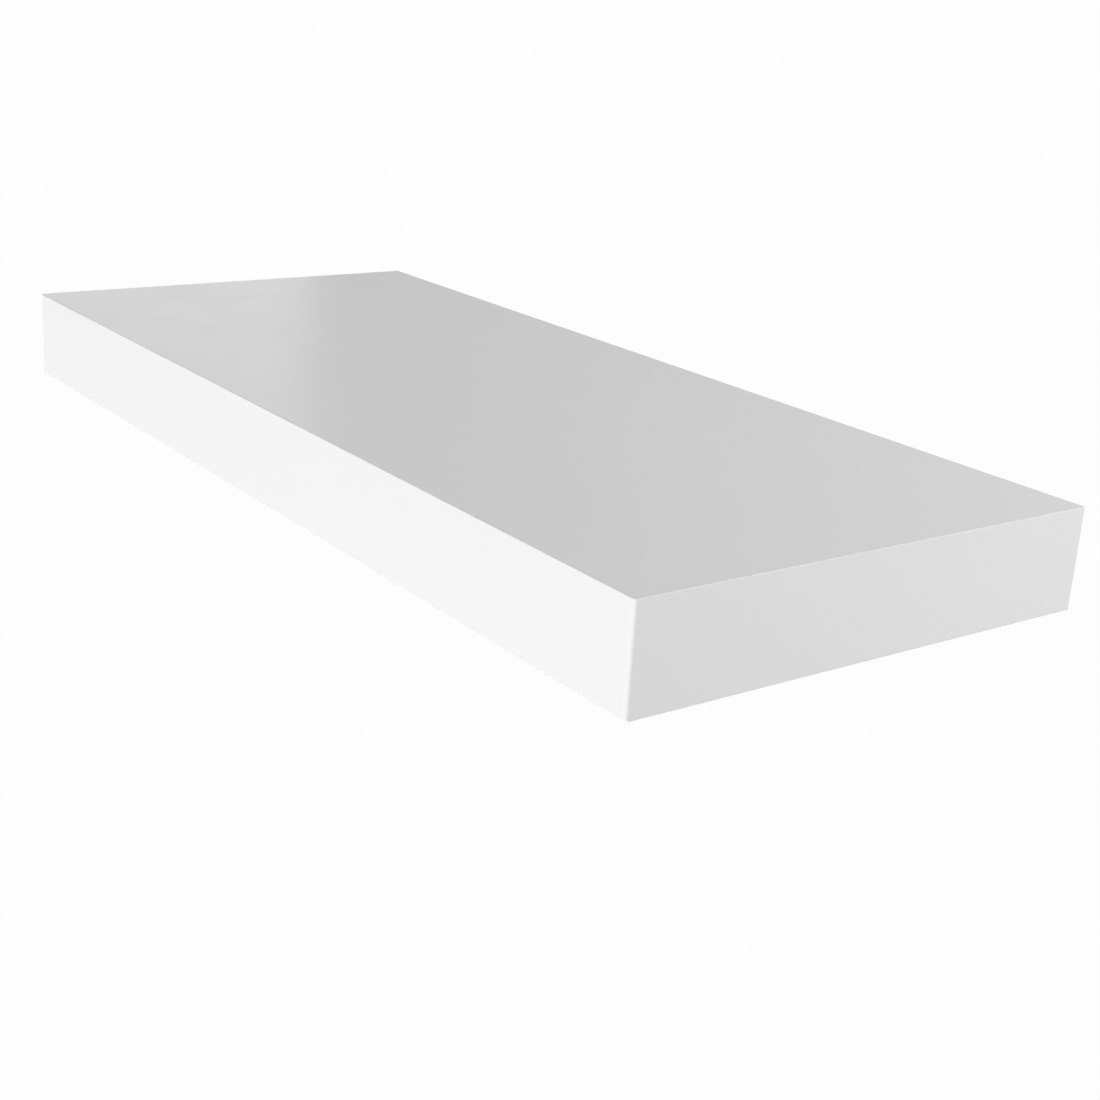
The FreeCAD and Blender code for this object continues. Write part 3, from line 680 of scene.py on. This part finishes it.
class SHELF_OT_welds(bpy.types.Operator):
    """Makes the three rippled weld beads between rods and wall bar"""

    bl_idname = "shelf.welds"
    bl_label = "Welds"

    def execute(self, context):
        sizes = context.scene.shelf_sizes
        material = zinc_plate("zinc_plated_weld_bead", context.scene.shelf_colours,
                              streak=(1.5, 1.5, 1.5), shine=(0.36, 0.55))
        for place in ROD_PLACES:
            node = f"{place}_rod_weld"
            rod_low, rod_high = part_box(f"{place}_rod")
            low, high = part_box(node)
            grid = self.bead((rod_high.x - rod_low.x) / 2, low, high, sizes)
            make_piece(f"{place}_weld_bead", grid, BRACKET, node, material, tube=True)
        return {"FINISHED"}

    def bead(self, rod, low, high, sizes):
        """A fillet weld carried round the rod.

        Across the bead, v goes from 0 on the rod to 1 on the bar along a straight line at 45 degrees. The
        line is raised by sin(180 v) times the bulge plus a ripple, cos(n a + bow sin(180 v)), at angle a
        round the rod. Three more rows, sunk in the bar and the rod, close the section.
        """
        leg, inside, behind = high.y - low.y, rod - WELD_ROOT, high.y + WELD_ROOT
        a = angles_round(RIPPLE_POINTS * sizes.weld_ripples)
        v = np.linspace(0, 1, BEAD_ROWS)[:, None]
        swell = np.sin(math.pi * v)
        ripple = np.cos(sizes.weld_ripples * a + RIPPLE_BOW * swell)
        raised = swell * (sizes.weld_bulge + sizes.weld_ripple * ripple) * math.sin(RIGHT_ANGLE / 2)
        radius = np.concatenate([
            rod + leg * v + raised, np.broadcast_to([[rod + leg], [inside], [inside]], (3, a.size))])
        along = np.concatenate([
            low.y + leg * v - raised, np.broadcast_to([[behind], [behind], [low.y]], (3, a.size))])
        middle = (low + high) / 2
        return turned(radius, along, a, (middle.x, middle.z), axis=1)


class SHELF_OT_inserts(bpy.types.Operator):
    """Makes the two knurled, threaded brass inserts"""

    bl_idname = "shelf.inserts"
    bl_label = "Threaded inserts"

    def execute(self, context):
        sizes = context.scene.shelf_sizes
        material = turned_brass(context.scene.shelf_colours)
        for side in SIDES:
            node = f"{side}_threaded_insert"
            make_piece(f"{side}_brass_insert", self.sleeve(*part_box(node), sizes), BOARD,
                       node, material, tube=True)
        return {"FINISHED"}

    def sleeve(self, low, high, sizes):
        """A sleeve carried round the insert's axis.

        The inside, from foot to head, is the bore plus the thread's depth times its wave. The outside,
        from head to foot, is the outer radius less the knurl's depth times a crossed wave of angle and
        height. Both ends have a small bevel.
        """
        outer, bore = (high.x - low.x) / 2, sizes.insert_bore / 2
        a = angles_round()
        ring = np.ones_like(a)
        rise = np.linspace(low.z + INSERT_BEVEL, high.z - INSERT_BEVEL, BORE_ROWS)[:, None]
        inner = bore + sizes.thread_depth * thread(rise, a, sizes.thread_pitch, low.z, high.z)
        fall = np.linspace(high.z - INSERT_BEVEL, low.z + INSERT_BEVEL, GRIP_ROWS)[:, None]
        crossed = np.cos(KNURLS * a + fall / KNURL_RISE) * np.cos(KNURLS * a - fall / KNURL_RISE)
        grip = outer - sizes.knurl_depth * (0.5 - 0.5 * crossed)
        mouth, rim = (bore + INSERT_BEVEL) * ring, (outer - INSERT_BEVEL) * ring
        head, foot = high.z * ring, low.z * ring
        radius = np.concatenate([inner, mouth, rim, grip, rim, mouth])
        height = np.concatenate([rise * ring, head, head, fall * ring, foot, foot])
        middle = (low + high) / 2
        return turned(radius, height, a, (middle.x, middle.y), axis=2)


class SHELF_OT_lock_screws(bpy.types.Operator):
    """Makes the two threaded grub screws with their hexagon sockets"""

    bl_idname = "shelf.lock_screws"
    bl_label = "Lock screws"

    def execute(self, context):
        sizes = context.scene.shelf_sizes
        material = black_oxide(context.scene.shelf_colours)
        for side in SIDES:
            node = f"{side}_lock_screw"
            make_piece(f"{side}_grub_screw", self.screw(*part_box(node), sizes), node,
                       node, material)
        return {"FINISHED"}

    def screw(self, low, high, sizes):
        """A grub screw carried round its axis, from the floor of its socket over its foot to its point.

        The socket's radius is half its width / cos(a'), where a' is the angle from the nearest flat. The
        thread is the outer radius less its depth times one minus its wave.
        """
        outer, depth = (high.x - low.x) / 2, sizes.thread_depth
        a = angles_round()
        ring = np.ones_like(a)
        flat = FULL_TURN / 6
        hexagon = sizes.socket_width / 2 / np.cos((a + flat / 2) % flat - flat / 2)
        floor = low.z + sizes.socket_depth
        rise = np.linspace(low.z + SCREW_BEVEL, high.z - SCREW_BEVEL, SCREW_ROWS)[:, None]
        shank = outer - depth * (1 - thread(rise, a, sizes.thread_pitch, low.z, high.z))
        rows = (
            (CONE_SHARE * hexagon, floor + CONE_DEPTH),
            (SOCKET_FLOOR * hexagon, floor),
            (hexagon, low.z + MOUTH_DEPTH),
            (hexagon + MOUTH_FLARE, low.z),
            ((outer - depth - RIM_STEP) * ring, low.z),
            (shank, rise),
            (CUP_RIM * outer * ring, high.z),
            (CUP_FLOOR * outer * ring, high.z - CUP_DEPTH),
        )
        radius = np.concatenate([row for row, _ in rows])
        height = np.concatenate([level * ring for _, level in rows])
        middle = (low + high) / 2
        return turned(radius, height, a, (middle.x, middle.y), axis=2)


class SHELF_OT_stage(bpy.types.Operator):
    """Makes the pale floor, the white surround, the soft boxes and the camera"""

    bl_idname = "shelf.stage"
    bl_label = "Stage"

    def execute(self, context):
        scene = context.scene
        scene.view_settings.view_transform = "Standard"
        self.surround(scene)
        self.floor(scene)
        for name, (place, aim, width, height) in LAMPS.items():
            lamp = bpy.data.lights.new(f"{name}_lamp", "AREA")
            lamp.shape, lamp.size, lamp.size_y = "RECTANGLE", width, height
            lamp.energy = getattr(scene.shelf_stage, name)
            box = bpy.data.objects.new(f"{name}_lamp", lamp)
            box.location = place
            box.rotation_euler = (Vector(aim) - Vector(place)).to_track_quat("-Z", "Y").to_euler()
            box.visible_camera, box.visible_glossy = False, name == MIRRORED
            scene.collection.objects.link(box)
        self.camera(scene)
        return {"FINISHED"}

    def seen(self, tree):
        """One for rays from the camera, a mirror or glass, and none for light that falls on the shelf."""
        path = add_node(tree, "LightPath")
        mirror = add_node(tree, "Math", {"operation": "ADD"}, {
            0: path.outputs["Is Camera Ray"], 1: path.outputs["Is Glossy Ray"]})
        return add_node(tree, "Math", {"operation": "ADD", "use_clamp": True}, {
            0: mirror.outputs[0], 1: path.outputs["Is Transmission Ray"]}).outputs[0]

    def surround(self, scene):
        """A white room to the eye, and a soft even light on the shelf."""
        world = bpy.data.worlds.new("white_surround")
        scene.world = world
        world.use_nodes = True
        tree = world.node_tree
        tree.nodes.clear()
        colours, stage = scene.shelf_colours, scene.shelf_stage
        soft = add_node(tree, "Background", {}, {"Color": opaque(colours.white), "Strength": stage.ambient})
        white = add_node(tree, "Background", {}, {"Color": opaque(colours.white), "Strength": 1.0})
        both = add_node(tree, "MixShader", {}, {
            0: self.seen(tree), 1: soft.outputs[0], 2: white.outputs[0]})
        add_node(tree, "OutputWorld", {}, {"Surface": both.outputs[0]})

    def floor(self, scene):
        """A matt painted floor, far below: white to the eye, with a share of its own tone and shadow."""
        colours, stage = scene.shelf_colours, scene.shelf_stage
        material, tree, shader, place = start_material("matt_painted_floor")
        shader.inputs["IOR"].default_value = 1.45
        cloud = add_node(tree, "TexNoise", {}, {"Vector": place, "Scale": per_mm(300), "Detail": 3.0})
        tone = add_node(tree, "Mix", {"data_type": "RGBA"}, {
            FACTOR: cloud.outputs["Fac"],
            COLOUR_A: opaque(colours.floor, 0.98), COLOUR_B: opaque(colours.floor)})
        dull = add_node(tree, "MapRange", {}, {"Value": cloud.outputs["Fac"], "To Min": 0.9, "To Max": 1.0})
        finish_material(tree, shader, tone.outputs[COLOUR], dull.outputs[0], cloud.outputs["Fac"],
                        depth=0.1 * MM)
        white = add_node(tree, "Emission", {}, {
            "Color": opaque(colours.white), "Strength": stage.floor_white})
        share = add_node(tree, "Math", {"operation": "MULTIPLY"}, {
            0: self.seen(tree), 1: 1 - stage.floor_shadow})
        both = add_node(tree, "MixShader", {}, {
            0: share.outputs[0], 1: shader.outputs[0], 2: white.outputs[0]})
        end = next(n for n in tree.nodes if n.type == "OUTPUT_MATERIAL")
        tree.links.new(both.outputs[0], end.inputs["Surface"])
        level = CAD_BOX[0][2] - stage.floor_drop
        sides = ((-1, -1), (1, -1), (1, 1), (-1, 1))
        mesh = bpy.data.meshes.new("floor")
        mesh.from_pydata([(x * FLOOR_REACH, y * FLOOR_REACH, level) for x, y in sides], [], [(0, 1, 2, 3)])
        mesh.materials.append(material)
        floor = bpy.data.objects.new("floor", mesh)
        scene.collection.objects.link(floor)

    def camera(self, scene):
        """The photograph's camera, which leans a little to one side."""
        lens = bpy.data.cameras.new("camera")
        lens.lens, lens.sensor_width = CAMERA_LENS, CAMERA_SENSOR
        camera = bpy.data.objects.new("camera", lens)
        camera.location = CAMERA_EYE
        look = (Vector(CAMERA_AIM) - Vector(CAMERA_EYE)).to_track_quat("-Z", "Y")
        camera.rotation_euler = (look @ Quaternion((0, 0, 1), CAMERA_LEAN)).to_euler()
        scene.collection.objects.link(camera)
        scene.camera = camera


OPERATORS = (SHELF_OT_skins, SHELF_OT_edging, SHELF_OT_frame_boards, SHELF_OT_core, SHELF_OT_wall_bar,
             SHELF_OT_rods, SHELF_OT_welds, SHELF_OT_inserts, SHELF_OT_lock_screws, SHELF_OT_stage)
GROUPS = {"shelf_sizes": ShelfSizes, "shelf_colours": ShelfColours, "shelf_stage": ShelfStage}


class SHELF_PT_pieces(bpy.types.Panel):
    """Lists the shelf's pieces, sizes and colours"""

    bl_idname = "SHELF_PT_pieces"
    bl_label = "Floating wall shelf"
    bl_space_type = "VIEW_3D"
    bl_region_type = "UI"
    bl_category = "Shelf"

    def draw(self, context):
        for operator in OPERATORS:
            self.layout.operator(operator.bl_idname)
        for group, kind in GROUPS.items():
            column = self.layout.column(heading=kind.__name__)
            for name in kind.__annotations__:
                column.prop(getattr(context.scene, group), name)


def register():
    for kind in (*GROUPS.values(), *OPERATORS, SHELF_PT_pieces):
        bpy.utils.register_class(kind)
    for group, kind in GROUPS.items():
        setattr(bpy.types.Scene, group, bpy.props.PointerProperty(type=kind))


def unregister():
    for group in GROUPS:
        delattr(bpy.types.Scene, group)
    for kind in reversed((*GROUPS.values(), *OPERATORS, SHELF_PT_pieces)):
        bpy.utils.unregister_class(kind)


def main():
    """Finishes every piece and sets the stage."""
    register()
    for operator in OPERATORS:
        group, name = operator.bl_idname.split(".")
        getattr(getattr(bpy.ops, group), name)()


if __name__ == "__main__":
    main()
